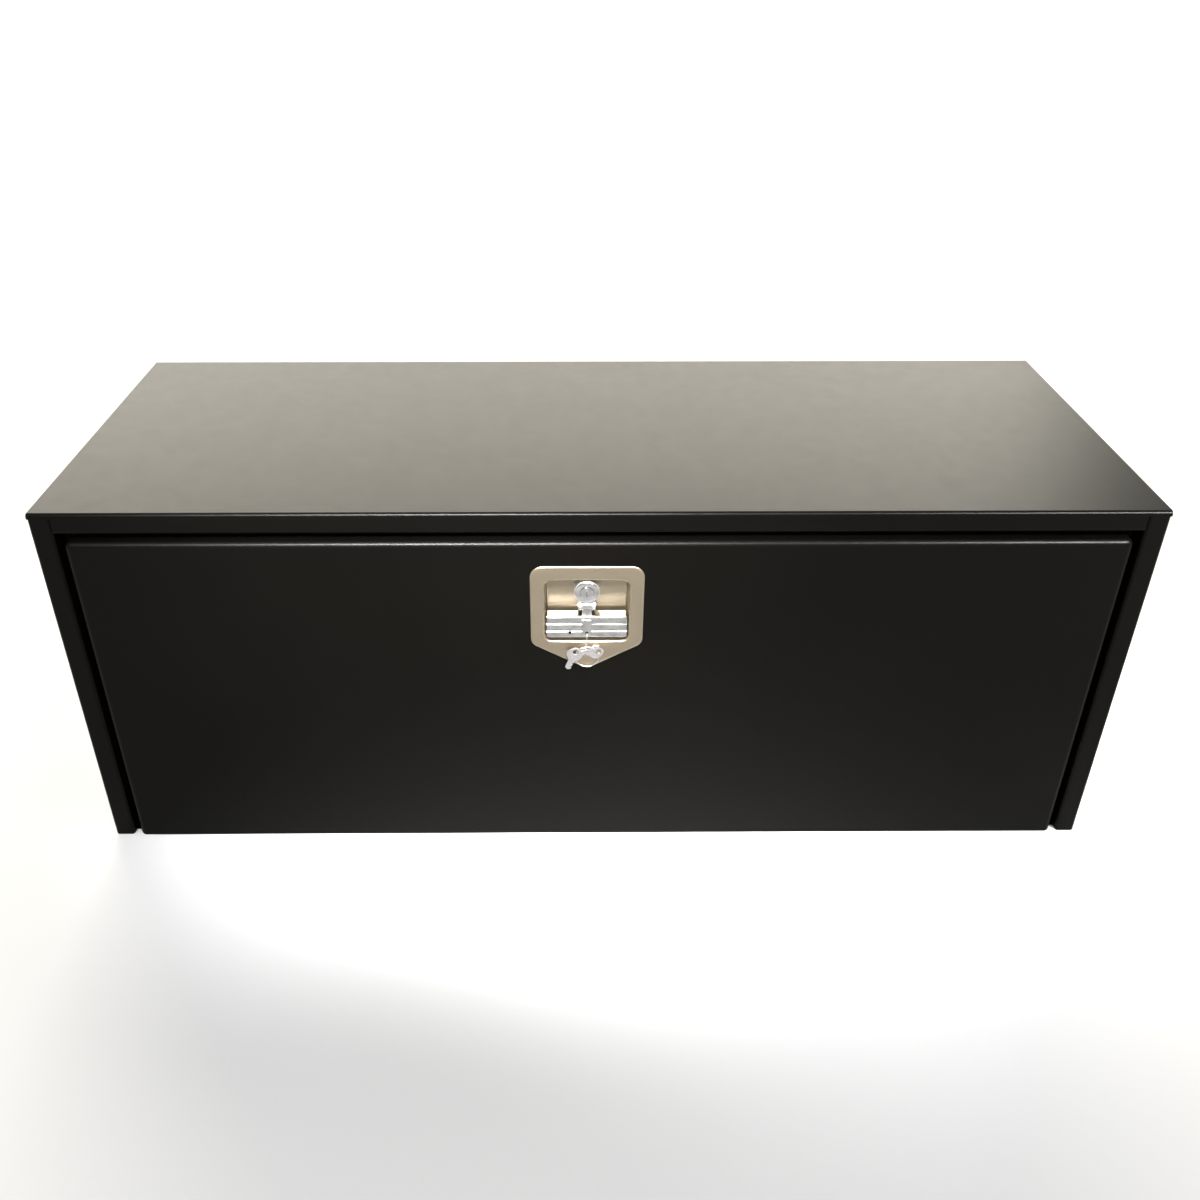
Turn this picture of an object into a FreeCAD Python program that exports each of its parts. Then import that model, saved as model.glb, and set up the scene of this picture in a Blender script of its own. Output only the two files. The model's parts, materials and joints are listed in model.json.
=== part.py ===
import FreeCAD, Part
import math
import os

# Underbody truck tool box, folded from 2 mm steel sheet, with one drop-down door.
# Millimetres. X runs along the box, to the right seen from the front. Y runs from the
# door to the back wall. Z is up. The origin is the centre of the bottom face.

Vector = FreeCAD.Vector

# ---- box ----
width = 1219.2
depth = 457.2
height = 457.2
sheet = 2.0
bend = 2.0                    # inside radius of the folds
half_width = width / 2
front_y = -depth / 2
back_y = depth / 2

jamb_face = 24.5              # width of the frame seen beside the door
rail_face = 24.5              # height of the frame seen above the door
frame_depth = 25.1            # how far the frame folds back to its sealing lip
lip_width = 20.1              # how far the sealing lip stands into the opening
sill_height = 42.0
sill_foot = 24.0
floor_set_back = 9.2          # front edge of the floor behind the frame's face
floor_upstand = 22.0
jamb_corner = 4.0             # rounding of the foot of each jamb
cap_depth = 6.0               # how far the top sheet's fold comes down over the end walls
seal_clearance = 2.6          # opening's top edge below the ends of the sealing lip

jamb_inner_x = half_width - jamb_face
rail_bottom_z = height - rail_face
lip_y = front_y + frame_depth
opening_x = jamb_inner_x - lip_width
opening_top_z = rail_bottom_z - lip_width - seal_clearance
floor_front_y = front_y + floor_set_back

# ---- door ----
door_half_width = 577.6
door_bottom_z = 1.5
door_top_z = 423.5
door_front_y = front_y - 2.4
door_back_y = -213.0
door_roll = 7.0               # rolled edge along the top and both sides
door_corner = 8.0
door_foot_corner = 6.0
door_return_foot_z = 4.0      # the side returns end this high behind the hinge line
window_half_width = 60.0      # access window in the inner panel, behind the latch
window_bottom_z = 285.0
window_top_z = 400.0
window_corner = 10.0
inner_panel_bottom_z = 28.0
door_edge_x = door_half_width - sheet
skin_back_y = door_front_y + sheet

# ---- seal ----
seal_width = 10.0
seal_gap = 0.3
seal_centre_x = jamb_inner_x - 11.1
seal_bottom_z = 35.0
seal_top_z = 417.0
seal_corner = 15.0

# ---- hinge ----
hinge_half_length = 570.0
knuckle_count = 19
knuckle_radius = 4.0
knuckle_gap = 0.4
hinge_pin_radius = 2.0
hinge_running_gap = 0.05
hinge_leaf = 1.4
hinge_y = skin_back_y + knuckle_radius + 0.4
hinge_z = 6.0
door_leaf_top_z = 26.0
box_leaf_top_z = 21.0
hinge_rivet_count = 12
hinge_rivet_radius = 2.0
hinge_rivet_z = 15.0
rivet_head_radius = 3.6
rivet_tail_radius = 3.0
rivet_head_height = 1.2
leaf_notch_margin = 0.6       # room between a leaf's notch and the other leaf's knuckle
pin_head_radius = 3.0
pin_head_length = 1.2

# ---- latch dish ----
latch_x = -13.8
dish_sheet = 1.4
dish_half_width = 63.1
dish_top_z = 394.0
dish_shoulder_z = 293.0
dish_point_z = 258.5
dish_seal = 1.0
dish_front_y = door_front_y - dish_seal - dish_sheet
recess_half_width = 46.8
recess_bottom_z = 297.0
recess_top_z = 376.0
recess_depth = 22.0
recess_corner = 8.0
recess_floor_y = dish_front_y + recess_depth
dish_back_y = recess_floor_y + dish_sheet
stud_radius = 2.5
stud_length = 9.0
stud_x = 54.0
stud_z = (303.0, 384.0)
stud_nut_size = 8.0
stud_nut_height = 4.0
dish_corner_radii = [14.0, 14.0, 10.0, 12.0, 10.0]
dish_edge_round = 1.1
recess_floor_round = 2.6
recess_back_round = 4.0

# ---- lock housing and key plug ----
hub_z = 359.0
hub_radius = 14.3
hub_front_y = -229.4
bezel_radius = 13.4
bezel_front_y = -231.2
shank_radius = 8.0
shank_back_y = -206.0
plug_radius = 7.5
plug_depth = 12.0
plug_proud = 0.8
running_gap = 0.06
hub_edge_round = 0.8
bezel_edge_round = 0.9
plug_edge_round = 0.5
slot_half_width = 0.9
slot_half_height = 4.5
slot_depth = 7.0
housing_nut_size = 24.0

# ---- folding T bar ----
pivot_y = -222.0
pivot_z = 338.0
pivot_radius = 2.0
fork_inside = 5.8
fork_outside = 9.6
fork_eye_radius = 6.2
bar_eye_radius = 6.0
stem_half_width = 5.5
stem_half_depth = 4.5
grip_half_length = 45.4
grip_bottom_z = 299.8
grip_top_z = 328.5
grip_front_y = -231.6
grip_back_y = -216.5
grip_edge = 2.2
rib_height = 1.2
rib_inset = 3.5
groove_depth = 1.2
groove_radius = 2.2
groove_z = (grip_bottom_z + 10.0, grip_top_z - 9.0)
grip_end_round = 1.2
key_hole_radius = 1.9
key_hole_z = 307.5
key_hole_spacing = 19.0

# ---- cam ----
spindle_radius = 5.0
spindle_flat = 4.0
collar_radius = 8.0
cam_sheet = 4.0
cam_front_y = lip_y + sheet + 0.3
cam_reach = 66.0
cam_half_width = 11.0
cam_washer = 1.5
cam_washer_radius = 9.0
cam_nut = 5.0
cam_nut_size = 13.0
spindle_front_y = -217.0
spindle_back_y = cam_front_y + cam_sheet + cam_washer + cam_nut + 2.0

# ---- keys ----
ring_radius = 13.0
ring_wire = 0.9
ring_x = latch_x + 0.5
ring_z = 277.5
ring_y = -236.4
tie_wire = 0.7
tie_standoff = 3.5
tie_bends = [1.2, 1.6, 1.4, 1.4, 1.2, 1.2]
key_thickness = 1.5
key_bow_radius = 9.0
key_hole_offset = 3.8         # centre of the bow's hole above the centre of the bow
key_bow_hole_radius = 3.2
key_blade_length = 12.0
key_blade_half_width = 3.8
key_notch_count = 3
key_notch_pitch = 4.0
key_notch_radius = 1.5


# ---- small tools ----

def block(x0, x1, y0, y1, z0, z1):
    """Box between two values on each axis."""
    return Part.makeBox(x1 - x0, y1 - y0, z1 - z0, Vector(x0, y0, z0))


def rod(radius, y0, y1, x, z):
    """Round bar along Y."""
    return Part.makeCylinder(radius, y1 - y0, Vector(x, y0, z), Vector(0, 1, 0))


def cross_rod(radius, x0, x1, y, z):
    """Round bar along X."""
    return Part.makeCylinder(radius, x1 - x0, Vector(x0, y, z), Vector(1, 0, 0))


def rounded_edges(points, radii, closed=False):
    """Lines along the points, with an arc of its own radius at each corner."""
    count = len(points)
    edges = []
    here = None if closed else points[0]
    first = None
    corners = range(count) if closed else range(1, count - 1)
    for i in corners:
        corner = points[i]
        back = (points[i - 1] - corner).normalize()
        ahead = (points[(i + 1) % count] - corner).normalize()
        half_angle = back.getAngle(ahead) / 2
        middle = (back + ahead).normalize()
        start = corner + back * (radii[i] / math.tan(half_angle))
        end = corner + ahead * (radii[i] / math.tan(half_angle))
        crown = corner + middle * (radii[i] / math.sin(half_angle) - radii[i])
        if here is None:
            first = start
        else:
            edges.append(Part.LineSegment(here, start).toShape())
        edges.append(Part.Arc(start, crown, end).toShape())
        here = end
    last = first if closed else points[-1]
    edges.append(Part.LineSegment(here, last).toShape())
    return edges


def outline_face(points, radii):
    """Flat face inside a closed outline with rounded corners."""
    return Part.Face(Part.Wire(rounded_edges(points, radii, closed=True)))


def left_of(points, distance):
    """The same open line, moved to its left in its own two coordinates."""
    moved = []
    for i, (u, v) in enumerate(points):
        normals = []
        for a, b in ((i - 1, i), (i, i + 1)):
            if a < 0 or b >= len(points):
                continue
            du = points[b][0] - points[a][0]
            dv = points[b][1] - points[a][1]
            length = math.hypot(du, dv)
            normals.append((-dv / length, du / length))
        n1 = normals[0]
        n2 = normals[-1]
        share = distance / (1 + n1[0] * n2[0] + n1[1] * n2[1])
        moved.append((u + (n1[0] + n2[0]) * share, v + (n1[1] + n2[1]) * share))
    return moved


def bent_sheet(points, place, run):
    """Folded sheet: the line is one surface, the sheet lies to its left."""
    near = [0.0]
    far = [0.0]
    for i in range(1, len(points) - 1):
        u0, v0 = points[i - 1]
        u1, v1 = points[i]
        u2, v2 = points[i + 1]
        turns_left = (u1 - u0) * (v2 - v1) - (v1 - v0) * (u2 - u1) > 0
        near.append(bend + sheet if turns_left else bend)
        far.append(bend if turns_left else bend + sheet)
    near.append(0.0)
    far.append(0.0)
    this_side = [place(u, v) for u, v in points]
    other_side = [place(u, v) for u, v in left_of(points, sheet)]
    edges = rounded_edges(this_side, near)
    edges.append(Part.LineSegment(this_side[-1], other_side[-1]).toShape())
    edges += rounded_edges(other_side, far)
    edges.append(Part.LineSegment(other_side[0], this_side[0]).toShape())
    wire = Part.Wire(Part.__sortEdges__(edges))
    return Part.Face(wire).extrude(run)


def along_x(x0, x1):
    """Place a Y-Z section at x0 and give the run to x1."""
    return (lambda y, z: Vector(x0, y, z)), Vector(x1 - x0, 0, 0)


def mirrored(shape):
    """The same shape on the other end of the box."""
    return shape.mirror(Vector(0, 0, 0), Vector(1, 0, 0))


def edges_where(shape, test):
    """Edges whose centre passes the test."""
    return [edge for edge in shape.Edges if test(edge.CenterOfMass)]


def near_value(value, target):
    return abs(value - target) < 0.01


# ---- box ----

def roof_panel():
    """Top sheet, folded down into the top rail, back, and down into the sealing lip."""
    place, run = along_x(-jamb_inner_x, jamb_inner_x)
    rail = bent_sheet(
        [
            (front_y + 40, height),
            (front_y, height),
            (front_y, rail_bottom_z),
            (lip_y, rail_bottom_z),
            (lip_y, opening_top_z),
        ],
        place,
        run,
    )
    lip_ends = block(-jamb_inner_x, -opening_x, lip_y - 1, lip_y + 3, 0, rail_bottom_z)
    rail = rail.cut(lip_ends).cut(mirrored(lip_ends))
    place, run = along_x(-half_width, half_width)
    cap = bent_sheet(
        [(back_y, height), (front_y, height), (front_y, height - cap_depth)],
        place,
        run,
    )
    return rail.fuse(cap).removeSplitter()


def back_panel():
    return block(-half_width + sheet, half_width - sheet, back_y - sheet, back_y, sheet, height - sheet)


def floor_panel():
    """Bottom sheet with a short upstand that carries the hinge."""
    inside = half_width - sheet
    plate = block(-inside, inside, floor_front_y + bend + sheet, back_y, 0, sheet)
    front_strip = block(-inside, inside, floor_front_y, floor_front_y + bend + sheet, 0, sheet)
    place, run = along_x(-hinge_half_length, hinge_half_length)
    upstand = bent_sheet(
        [(floor_front_y + 20, 0), (floor_front_y, 0), (floor_front_y, floor_upstand)][::-1],
        place,
        run,
    )
    middle_x = hinge_half_length
    middle = block(-middle_x, middle_x, floor_front_y - 1, floor_front_y + 10, -1, sheet + 1)
    return plate.fuse(front_strip).cut(middle).fuse(upstand).removeSplitter()


def left_end_panel():
    """End wall, folded into the jamb, back beside the opening and into the sealing lip."""
    wall_x = -half_width
    inner_x = -jamb_inner_x
    lip_x = -opening_x

    def place(x, y):
        return Vector(x, y, 0)

    panel = bent_sheet(
        [
            (wall_x, back_y),
            (wall_x, front_y),
            (inner_x, front_y),
            (inner_x, lip_y),
            (lip_x, lip_y),
        ],
        place,
        Vector(0, 0, height - sheet),
    )
    behind_lip = lip_y + 5
    cap_back = front_y + bend + sheet + 0.1
    above_rail = block(inner_x - sheet - 0.1, lip_x + 1, front_y + sheet, behind_lip, rail_bottom_z, height)
    rail_corner = block(inner_x, lip_x + 1, front_y - 1, behind_lip, rail_bottom_z, height)
    cap_fold = block(wall_x - 1, inner_x + 1, front_y - 1, cap_back, height - cap_depth, height)
    under_floor = block(wall_x + sheet, lip_x + 1, front_y + 4.5, back_y, -1, sheet)
    foot = block(wall_x + sheet + bend, lip_x + 1, front_y + sheet, front_y + 4.5, -1, sheet)
    for waste in (above_rail, rail_corner, cap_fold, under_floor, foot):
        panel = panel.cut(waste)
    return panel.cut(jamb_foot_waste(inner_x))


def jamb_foot_waste(inner_x):
    """What the rounded lower corner of the jamb's face leaves off."""
    corner = block(inner_x - jamb_corner, inner_x + 1, front_y - 1, front_y + 4.5, -1, jamb_corner)
    round_part = rod(jamb_corner, front_y - 2, front_y + 6, inner_x - jamb_corner, jamb_corner)
    return corner.cut(round_part)


def sill_angle():
    """Angle on the floor that the lower run of the seal sits on."""
    place, run = along_x(-opening_x, opening_x)
    line = [
        (lip_y, sill_height),
        (lip_y, sheet),
        (lip_y + sill_foot, sheet),
    ]
    return bent_sheet(line, place, run)


def door_seal():
    """Bulb seal round the opening, one closed loop."""
    half = seal_width / 2

    def loop(grow, radius):
        x = seal_centre_x + grow
        low = seal_bottom_z - grow
        high = seal_top_z + grow
        corners = [
            Vector(-x, lip_y, low),
            Vector(x, lip_y, low),
            Vector(x, lip_y, high),
            Vector(-x, lip_y, high),
        ]
        reach = door_back_y + seal_gap - lip_y
        return outline_face(corners, [radius] * 4).extrude(Vector(0, reach, 0))

    return loop(half, seal_corner).cut(loop(-half, seal_corner - seal_width))


# ---- door ----

def door_block(inset, low_z):
    """Door-sized block with the rolled edge, drawn in by inset on every face but the back."""
    x = door_half_width - inset
    front = door_front_y + inset
    high = door_top_z - inset
    solid = block(-x, x, front, door_back_y, low_z, high)
    solid = solid.makeFillet(
        door_corner - inset,
        edges_where(solid, lambda c: near_value(abs(c.x), x) and near_value(c.z, high)),
    )
    rolled = edges_where(
        solid,
        lambda c: near_value(c.y, front) and not near_value(c.z, low_z),
    )
    return solid.makeFillet(door_roll - inset, rolled)


def door_outer_panel():
    """Front skin with returns on the top and both sides."""
    pan = door_block(0, door_bottom_z).cut(door_block(sheet, door_bottom_z - 5))
    return_feet = block(
        -door_half_width,
        door_half_width,
        hinge_y + 3.6,
        door_back_y + 1,
        0,
        door_return_foot_z,
    )
    pan = pan.cut(return_feet)
    for side in (-1, 1):
        x = side * door_half_width
        centre_x = x - side * door_foot_corner
        centre_z = door_bottom_z + door_foot_corner
        corner = block(min(x, centre_x), max(x, centre_x), door_front_y, door_back_y, 0, centre_z)
        round_part = rod(door_foot_corner, door_front_y - 1, door_back_y + 1, centre_x, centre_z)
        pan = pan.cut(corner.cut(round_part))
    hole = recess_block(dish_sheet + 0.6, door_front_y - 5, door_back_y)
    for x in (-stud_x, stud_x):
        for z in stud_z:
            hole = hole.fuse(rod(stud_radius + 0.3, door_front_y - 5, door_back_y, latch_x + x, z))
    return pan.cut(hole)


def door_inner_panel():
    """Second sheet that closes the door's back, with an access window behind the latch."""
    place, run = along_x(-door_edge_x, door_edge_x)
    line = [
        (skin_back_y, inner_panel_bottom_z),
        (door_back_y, inner_panel_bottom_z),
        (door_back_y, door_top_z - sheet),
    ]
    panel = bent_sheet(line, place, run).common(door_block(sheet, door_bottom_z))
    window = block(
        latch_x - window_half_width,
        latch_x + window_half_width,
        door_back_y - 6,
        door_back_y + 1,
        window_bottom_z,
        window_top_z,
    )
    corners = edges_where(
        window,
        lambda c: near_value(abs(c.x - latch_x), window_half_width)
        and (near_value(c.z, window_bottom_z) or near_value(c.z, window_top_z)),
    )
    return panel.cut(window.makeFillet(window_corner, corners))


# ---- hinge ----

def knuckles():
    """Start and end of each knuckle, from left to right."""
    pitch = 2 * hinge_half_length / knuckle_count
    spans = []
    for i in range(knuckle_count):
        start = -hinge_half_length + i * pitch
        spans.append((start + knuckle_gap / 2, start + pitch - knuckle_gap / 2))
    return spans


def hinge_leaf_with(own, other, leaf):
    """A leaf with its own knuckles, notched clear of the other leaf's knuckles."""
    notch = knuckle_radius + leaf_notch_margin
    for x0, x1 in other:
        leaf = leaf.cut(block(
            x0 - knuckle_gap / 2,
            x1 + knuckle_gap / 2,
            hinge_y - 10,
            hinge_y + 10,
            hinge_z - notch,
            hinge_z + notch,
        ))
    for x0, x1 in own:
        leaf = leaf.fuse(cross_rod(knuckle_radius, x0, x1, hinge_y, hinge_z))
    bore = cross_rod(
        hinge_pin_radius + hinge_running_gap,
        -hinge_half_length - 1,
        hinge_half_length + 1,
        hinge_y,
        hinge_z,
    )
    return leaf.cut(bore).removeSplitter()


def hinge_leaves():
    """Door leaf and box leaf of the full-length hinge, and its pin."""
    spans = knuckles()
    box_spans = spans[0::2]
    door_spans = spans[1::2]
    x = hinge_half_length - knuckle_gap / 2
    door_leaf = block(-x, x, skin_back_y, skin_back_y + hinge_leaf, hinge_z, door_leaf_top_z)
    box_leaf = block(-x, x, floor_front_y - hinge_leaf, floor_front_y, hinge_z, box_leaf_top_z)
    door_leaf = hinge_leaf_with(door_spans, box_spans, door_leaf)
    box_leaf = hinge_leaf_with(box_spans, door_spans, box_leaf)
    for rivet_x in hinge_rivet_places():
        box_leaf = box_leaf.cut(rod(hinge_rivet_radius, -260, -200, rivet_x, hinge_rivet_z))
    pin = cross_rod(hinge_pin_radius, -hinge_half_length, hinge_half_length, hinge_y, hinge_z)
    for side in (-1, 1):
        inner = side * hinge_half_length
        outer = side * (hinge_half_length + pin_head_length)
        pin = pin.fuse(cross_rod(pin_head_radius, min(inner, outer), max(inner, outer), hinge_y, hinge_z))
    return box_leaf, door_leaf, pin


def hinge_rivet_places():
    pitch = 2 * hinge_half_length / hinge_rivet_count
    return [-hinge_half_length + pitch * (i + 0.5) for i in range(hinge_rivet_count)]


def hinge_rivets():
    """Rivets through the box leaf and the floor's upstand."""
    front = floor_front_y - hinge_leaf
    back = floor_front_y + sheet
    rivets = []
    for x in hinge_rivet_places():
        shank = rod(hinge_rivet_radius, front, back, x, hinge_rivet_z)
        head = rod(rivet_head_radius, front - rivet_head_height, front, x, hinge_rivet_z)
        tail = rod(rivet_tail_radius, back, back + rivet_head_height, x, hinge_rivet_z)
        rivets.append(shank.fuse(head).fuse(tail).removeSplitter())
    return rivets


# ---- latch ----

def dish_outline(inset, y):
    """Five-sided plate outline, pointing down."""
    side = dish_half_width - inset
    points = [
        Vector(latch_x - side, y, dish_top_z - inset),
        Vector(latch_x + side, y, dish_top_z - inset),
        Vector(latch_x + side, y, dish_shoulder_z + inset * 0.3),
        Vector(latch_x, y, dish_point_z + inset),
        Vector(latch_x - side, y, dish_shoulder_z + inset * 0.3),
    ]
    return outline_face(points, dish_corner_radii)


def recess_block(grow, y0, y1):
    """Block the size of the latch recess, grown by a margin."""
    solid = block(
        latch_x - recess_half_width - grow,
        latch_x + recess_half_width + grow,
        y0,
        y1,
        recess_bottom_z - grow,
        recess_top_z + grow,
    )
    upright = edges_where(solid, lambda c: near_value(c.y, (y0 + y1) / 2)
                          and abs(c.x - latch_x) > recess_half_width - 1)
    return solid.makeFillet(recess_corner + grow, upright)


def latch_dish():
    """Stainless five-sided dish with a deep rectangular recess."""
    plate = dish_outline(0, dish_front_y).extrude(Vector(0, dish_sheet, 0))
    rim = edges_where(plate, lambda c: near_value(c.y, dish_front_y))
    plate = plate.makeFillet(dish_edge_round, rim)
    back = recess_block(dish_sheet, dish_front_y + dish_sheet / 2, dish_back_y)
    back = back.makeFillet(recess_back_round, edges_where(back, lambda c: near_value(c.y, dish_back_y)))
    cavity = recess_block(0, dish_front_y - 5, recess_floor_y)
    deep_edges = edges_where(cavity, lambda c: near_value(c.y, recess_floor_y))
    cavity = cavity.makeFillet(recess_floor_round, deep_edges)
    dish = plate.fuse(back).cut(cavity)
    dish = dish.cut(rod(shank_radius, recess_floor_y - 2, dish_back_y + 2, latch_x, hub_z))
    return dish.removeSplitter()


def latch_studs():
    """Four threaded studs, welded to the back of the dish's flange."""
    start = dish_front_y + dish_sheet
    return [
        rod(stud_radius, start, start + stud_length, latch_x + x, z)
        for x in (-stud_x, stud_x)
        for z in stud_z
    ]


def latch_seal():
    """Thin foam seal between the dish and the door skin."""
    pad = dish_outline(2.0, door_front_y - dish_seal).extrude(Vector(0, dish_seal, 0))
    pad = pad.cut(recess_block(dish_sheet + 0.3, door_front_y - 5, door_front_y + 5))
    for x in (-stud_x, stud_x):
        for z in stud_z:
            pad = pad.cut(rod(stud_radius + 0.1, door_front_y - 5, door_front_y + 5, latch_x + x, z))
    return pad


def hexagon_nut(across_flats, bore, y0, thickness, x, z):
    """Six-sided nut with its axis along Y."""
    corner = across_flats / math.sqrt(3)
    points = []
    for i in range(7):
        angle = math.radians(60 * i + 30)
        points.append(Vector(x + corner * math.cos(angle), y0, z + corner * math.sin(angle)))
    nut = Part.Face(Part.makePolygon(points)).extrude(Vector(0, thickness, 0))
    return nut.cut(rod(bore, y0 - 1, y0 + thickness + 1, x, z))


def latch_nuts():
    """Four nuts on the dish's weld studs, inside the door skin."""
    return [
        hexagon_nut(stud_nut_size, stud_radius, skin_back_y, stud_nut_height, latch_x + x, z)
        for x in (-stud_x, stud_x)
        for z in stud_z
    ]


def lock_housing():
    """Round housing on the dish floor, with a fork below it for the T bar."""
    front = rod(hub_radius, hub_front_y, recess_floor_y, latch_x, hub_z)
    front = front.makeFillet(hub_edge_round, edges_where(front, lambda c: near_value(c.y, hub_front_y)))
    shank = rod(shank_radius, recess_floor_y, shank_back_y, latch_x, hub_z)
    housing = front.fuse(shank)
    for side in (-1, 1):
        x0 = latch_x + min(side * fork_inside, side * fork_outside)
        x1 = latch_x + max(side * fork_inside, side * fork_outside)
        web = block(x0, x1, pivot_y - 2, recess_floor_y, pivot_z - 5, hub_z - 8)
        eye = cross_rod(fork_eye_radius, x0, x1, pivot_y, pivot_z)
        housing = housing.fuse(web).fuse(eye)
    housing = housing.cut(cross_rod(pivot_radius, latch_x - 20, latch_x + 20, pivot_y, pivot_z))
    plug_back = bezel_front_y + plug_depth
    plug_bore = rod(plug_radius + running_gap, hub_front_y - 2, plug_back, latch_x, hub_z)
    spindle_start = spindle_front_y - 0.5
    spindle_bore = rod(spindle_radius + running_gap, spindle_start, shank_back_y + 1, latch_x, hub_z)
    return housing.cut(plug_bore).cut(spindle_bore).removeSplitter()


def lock_bezel():
    """Bright ring on the front of the housing, round the key plug."""
    ring = rod(bezel_radius, bezel_front_y, hub_front_y, latch_x, hub_z)
    ring = ring.makeFillet(bezel_edge_round, edges_where(ring, lambda c: near_value(c.y, bezel_front_y)))
    return ring.cut(rod(plug_radius + running_gap, bezel_front_y - 1, hub_front_y + 1, latch_x, hub_z))


def housing_nut():
    """Large nut that clamps the housing from behind the dish."""
    thickness = shank_back_y - dish_back_y - 0.4
    return hexagon_nut(housing_nut_size, shank_radius, dish_back_y, thickness, latch_x, hub_z)


def key_plug():
    """Round lock plug with its key slot."""
    front = bezel_front_y - plug_proud
    back = bezel_front_y + plug_depth - 0.4
    plug = rod(plug_radius, front, back, latch_x, hub_z)
    plug = plug.makeFillet(plug_edge_round, edges_where(plug, lambda c: near_value(c.y, front)))
    slot = block(
        latch_x - slot_half_width,
        latch_x + slot_half_width,
        front - 1,
        front + slot_depth,
        hub_z - slot_half_height,
        hub_z + slot_half_height,
    )
    return plug.cut(slot)


def grip():
    """Wide grip, with two long grooves in its front."""
    x = latch_x - grip_half_length
    body = block(x, -x + 2 * latch_x, grip_front_y, grip_back_y, grip_bottom_z, grip_top_z)
    long_edges = edges_where(body, lambda c: near_value(c.x, latch_x))
    body = body.makeFillet(grip_edge, long_edges)
    ends = edges_where(body, lambda c: abs(c.x - latch_x) > grip_half_length - 0.1)
    body = body.makeFillet(grip_end_round, ends)
    for z in groove_z:
        groove = cross_rod(
            groove_radius,
            x - 1,
            latch_x + grip_half_length + 1,
            grip_front_y - groove_radius + groove_depth,
            z,
        )
        body = body.cut(groove)
    return body


def t_bar():
    """Folding T: an eye on the pivot pin, a short stem and a wide grip."""
    eye = cross_rod(bar_eye_radius, latch_x - stem_half_width, latch_x + stem_half_width, pivot_y, pivot_z)
    stem = block(
        latch_x - stem_half_width,
        latch_x + stem_half_width,
        pivot_y - stem_half_depth,
        pivot_y + stem_half_depth,
        grip_top_z - 6,
        pivot_z,
    )
    rib_front = grip_front_y - rib_height
    rib = block(
        latch_x - stem_half_width,
        latch_x + stem_half_width,
        rib_front,
        pivot_y,
        grip_bottom_z + rib_inset,
        grip_top_z - rib_inset,
    )
    rib = rib.makeFillet(rib_height - 0.1, edges_where(rib, lambda c: near_value(c.y, rib_front)))
    bar = grip().fuse(rib).fuse(stem).fuse(eye)
    bar = bar.cut(cross_rod(pivot_radius + running_gap, latch_x - 20, latch_x + 20, pivot_y, pivot_z))
    for x in (0, -key_hole_spacing):
        bar = bar.cut(rod(key_hole_radius, -240, -200, latch_x + x, key_hole_z))
    return bar.removeSplitter()


def t_bar_pin():
    return cross_rod(pivot_radius, latch_x - fork_outside - 0.6, latch_x + fork_outside + 0.6,
                     pivot_y, pivot_z)


# ---- cam and spindle ----

def double_d(y0, y1):
    """Spindle end with two flats, as the cam's hole has."""
    end = rod(spindle_radius, y0, y1, latch_x, hub_z)
    flats = block(latch_x - spindle_flat, latch_x + spindle_flat, y0, y1,
                  hub_z - spindle_radius, hub_z + spindle_radius)
    return end.common(flats)


def cam_spindle():
    """Spindle that turns in the housing's shank and carries the cam."""
    journal = rod(spindle_radius, spindle_front_y, cam_front_y, latch_x, hub_z)
    collar = rod(collar_radius, shank_back_y + 0.2, cam_front_y, latch_x, hub_z)
    nose = double_d(cam_front_y, cam_front_y + cam_sheet)
    thread = rod(spindle_flat, cam_front_y + cam_sheet, spindle_back_y, latch_x, hub_z)
    return journal.fuse(collar).fuse(nose).fuse(thread).removeSplitter()


def latch_cam():
    """Flat cam, stored released: it points to the right and turns up behind the lip."""
    y0 = cam_front_y
    y1 = cam_front_y + cam_sheet
    arm = block(latch_x, latch_x + cam_reach - cam_half_width, y0, y1,
                hub_z - cam_half_width, hub_z + cam_half_width)
    tip = rod(cam_half_width, y0, y1, latch_x + cam_reach - cam_half_width, hub_z)
    root = rod(cam_half_width, y0, y1, latch_x, hub_z)
    return arm.fuse(tip).fuse(root).removeSplitter().cut(double_d(y0, y1))


def cam_washer_ring():
    y0 = cam_front_y + cam_sheet
    ring = rod(cam_washer_radius, y0, y0 + cam_washer, latch_x, hub_z)
    return ring.cut(rod(spindle_flat, y0, y0 + cam_washer, latch_x, hub_z))


def cam_nut_hexagon():
    y0 = cam_front_y + cam_sheet + cam_washer
    return hexagon_nut(cam_nut_size, spindle_flat, y0, cam_nut, latch_x, hub_z)


# ---- keys ----

def key_ring():
    return Part.makeTorus(ring_radius, ring_wire, Vector(ring_x, ring_y, ring_z), Vector(0, 1, 0))


def key_tie():
    """Wire loop through a hole in the grip, under the grip and round the ring's top."""
    ring_top = ring_z + ring_radius
    low = ring_top - ring_wire - tie_wire - 0.4
    front = ring_y - ring_wire - tie_wire - 1.0
    behind = ring_y + ring_wire + tie_wire + 0.3
    back = grip_back_y + tie_wire + 0.6
    under = grip_bottom_z - tie_wire - 0.8
    x = latch_x
    points = [
        Vector(x, front, low),
        Vector(x, grip_front_y - tie_standoff, key_hole_z),
        Vector(x, back, key_hole_z),
        Vector(x, back, under),
        Vector(x, behind, under),
        Vector(x, behind, low),
    ]
    path = Part.Wire(rounded_edges(points, tie_bends, closed=True))
    first = path.Edges[0]
    start = first.valueAt(first.FirstParameter)
    direction = first.tangentAt(first.FirstParameter)
    profile = Part.Wire(Part.makeCircle(tie_wire, start, direction))
    return path.makePipeShell([profile], True, False)


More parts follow.
